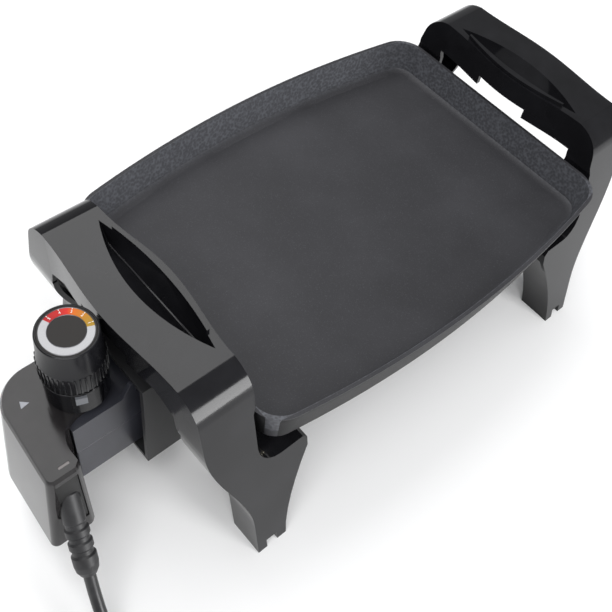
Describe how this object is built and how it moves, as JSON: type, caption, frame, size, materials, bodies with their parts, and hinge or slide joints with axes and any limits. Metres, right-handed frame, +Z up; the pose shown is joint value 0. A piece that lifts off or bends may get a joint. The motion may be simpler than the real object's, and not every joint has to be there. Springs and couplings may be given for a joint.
{
  "type": "electric griddle",
  "caption": "Table-top electric griddle: bowed rectangular pan between two arched end frames with carry handles, and a plug-in heat control with a dial, strain relief and mains cord.",
  "frame": {"origin": "on the table, at the centre of the outline of the griddle with its control plugged in, without the cord", "axes": "+X from the control end to the free end, +Y across the pan away from the cord, +Z up"},
  "size_m": [0.4355, 0.3553, 0.1585],
  "materials": {
    "cast_pan": "matte dark grey non-stick coating",
    "gloss_moulding": "high gloss, near black",
    "black_moulding": "satin black",
    "grey_moulding": "semi-gloss blue grey",
    "dial_face": "silver ring with a coloured arc",
    "steel": "plain steel",
    "sheath": "heat-darkened tube",
    "probe_steel": "polished",
    "contact_metal": "plain brass and bronze",
    "pin_metal": "nickel plated",
    "ceramic": "unglazed ceramic",
    "lens": "dark red window",
    "lamp": "neon lamp",
    "wire": "insulated wire",
    "black_rubber": "flexible black vinyl",
    "tie": "woven strap"
  },
  "bodies": {
    "griddle": {"griddle_pan": "cast_pan", "heating_element": "sheath", "element_clamps": "steel", "terminal_insulators": "ceramic", "terminal_pins": "pin_metal", "left_end_frame": "gloss_moulding", "right_end_frame": "gloss_moulding", "frame_washers": "pin_metal", "frame_screws": "steel", "socket_shroud": "black_moulding", "shroud_screws": "steel"},
    "control": {"control_cover": "gloss_moulding", "control_base": "black_moulding", "cord_panel": "black_moulding", "arm_upper_half": "grey_moulding", "arm_lower_half": "grey_moulding", "control_screws": "steel", "dial_collar": "black_moulding", "dial_pointer": "grey_moulding", "spindle_bush": "contact_metal", "socket_block": "ceramic", "terminal_sockets": "contact_metal", "probe_tube": "probe_steel", "thermostat_frame": "steel", "bimetal_strip": "contact_metal", "contact_blades": "contact_metal", "contact_insulators": "ceramic", "pilot_lens": "lens", "pilot_lamp": "lamp", "lead_wires": "wire", "strain_relief": "black_rubber", "cord": "black_rubber", "cord_coil": "black_rubber", "coil_tie": "tie", "plug_body": "black_rubber", "plug_blades": "pin_metal"},
    "dial": {"knob": "black_moulding", "knob_dial": "dial_face", "dial_spindle": "steel"}
  },
  "joints": [
    {"name": "control_unplug", "type": "slide", "parent": "griddle", "child": "control", "axis": [-1, 0, 0], "range_m": [0, 0.08]},
    {"name": "dial_turn", "type": "hinge", "parent": "control", "child": "dial", "pos_m": [-0.16175, 0, 0.13], "axis": [0, 0, 1], "range_deg": [-30, 240]}
  ]
}
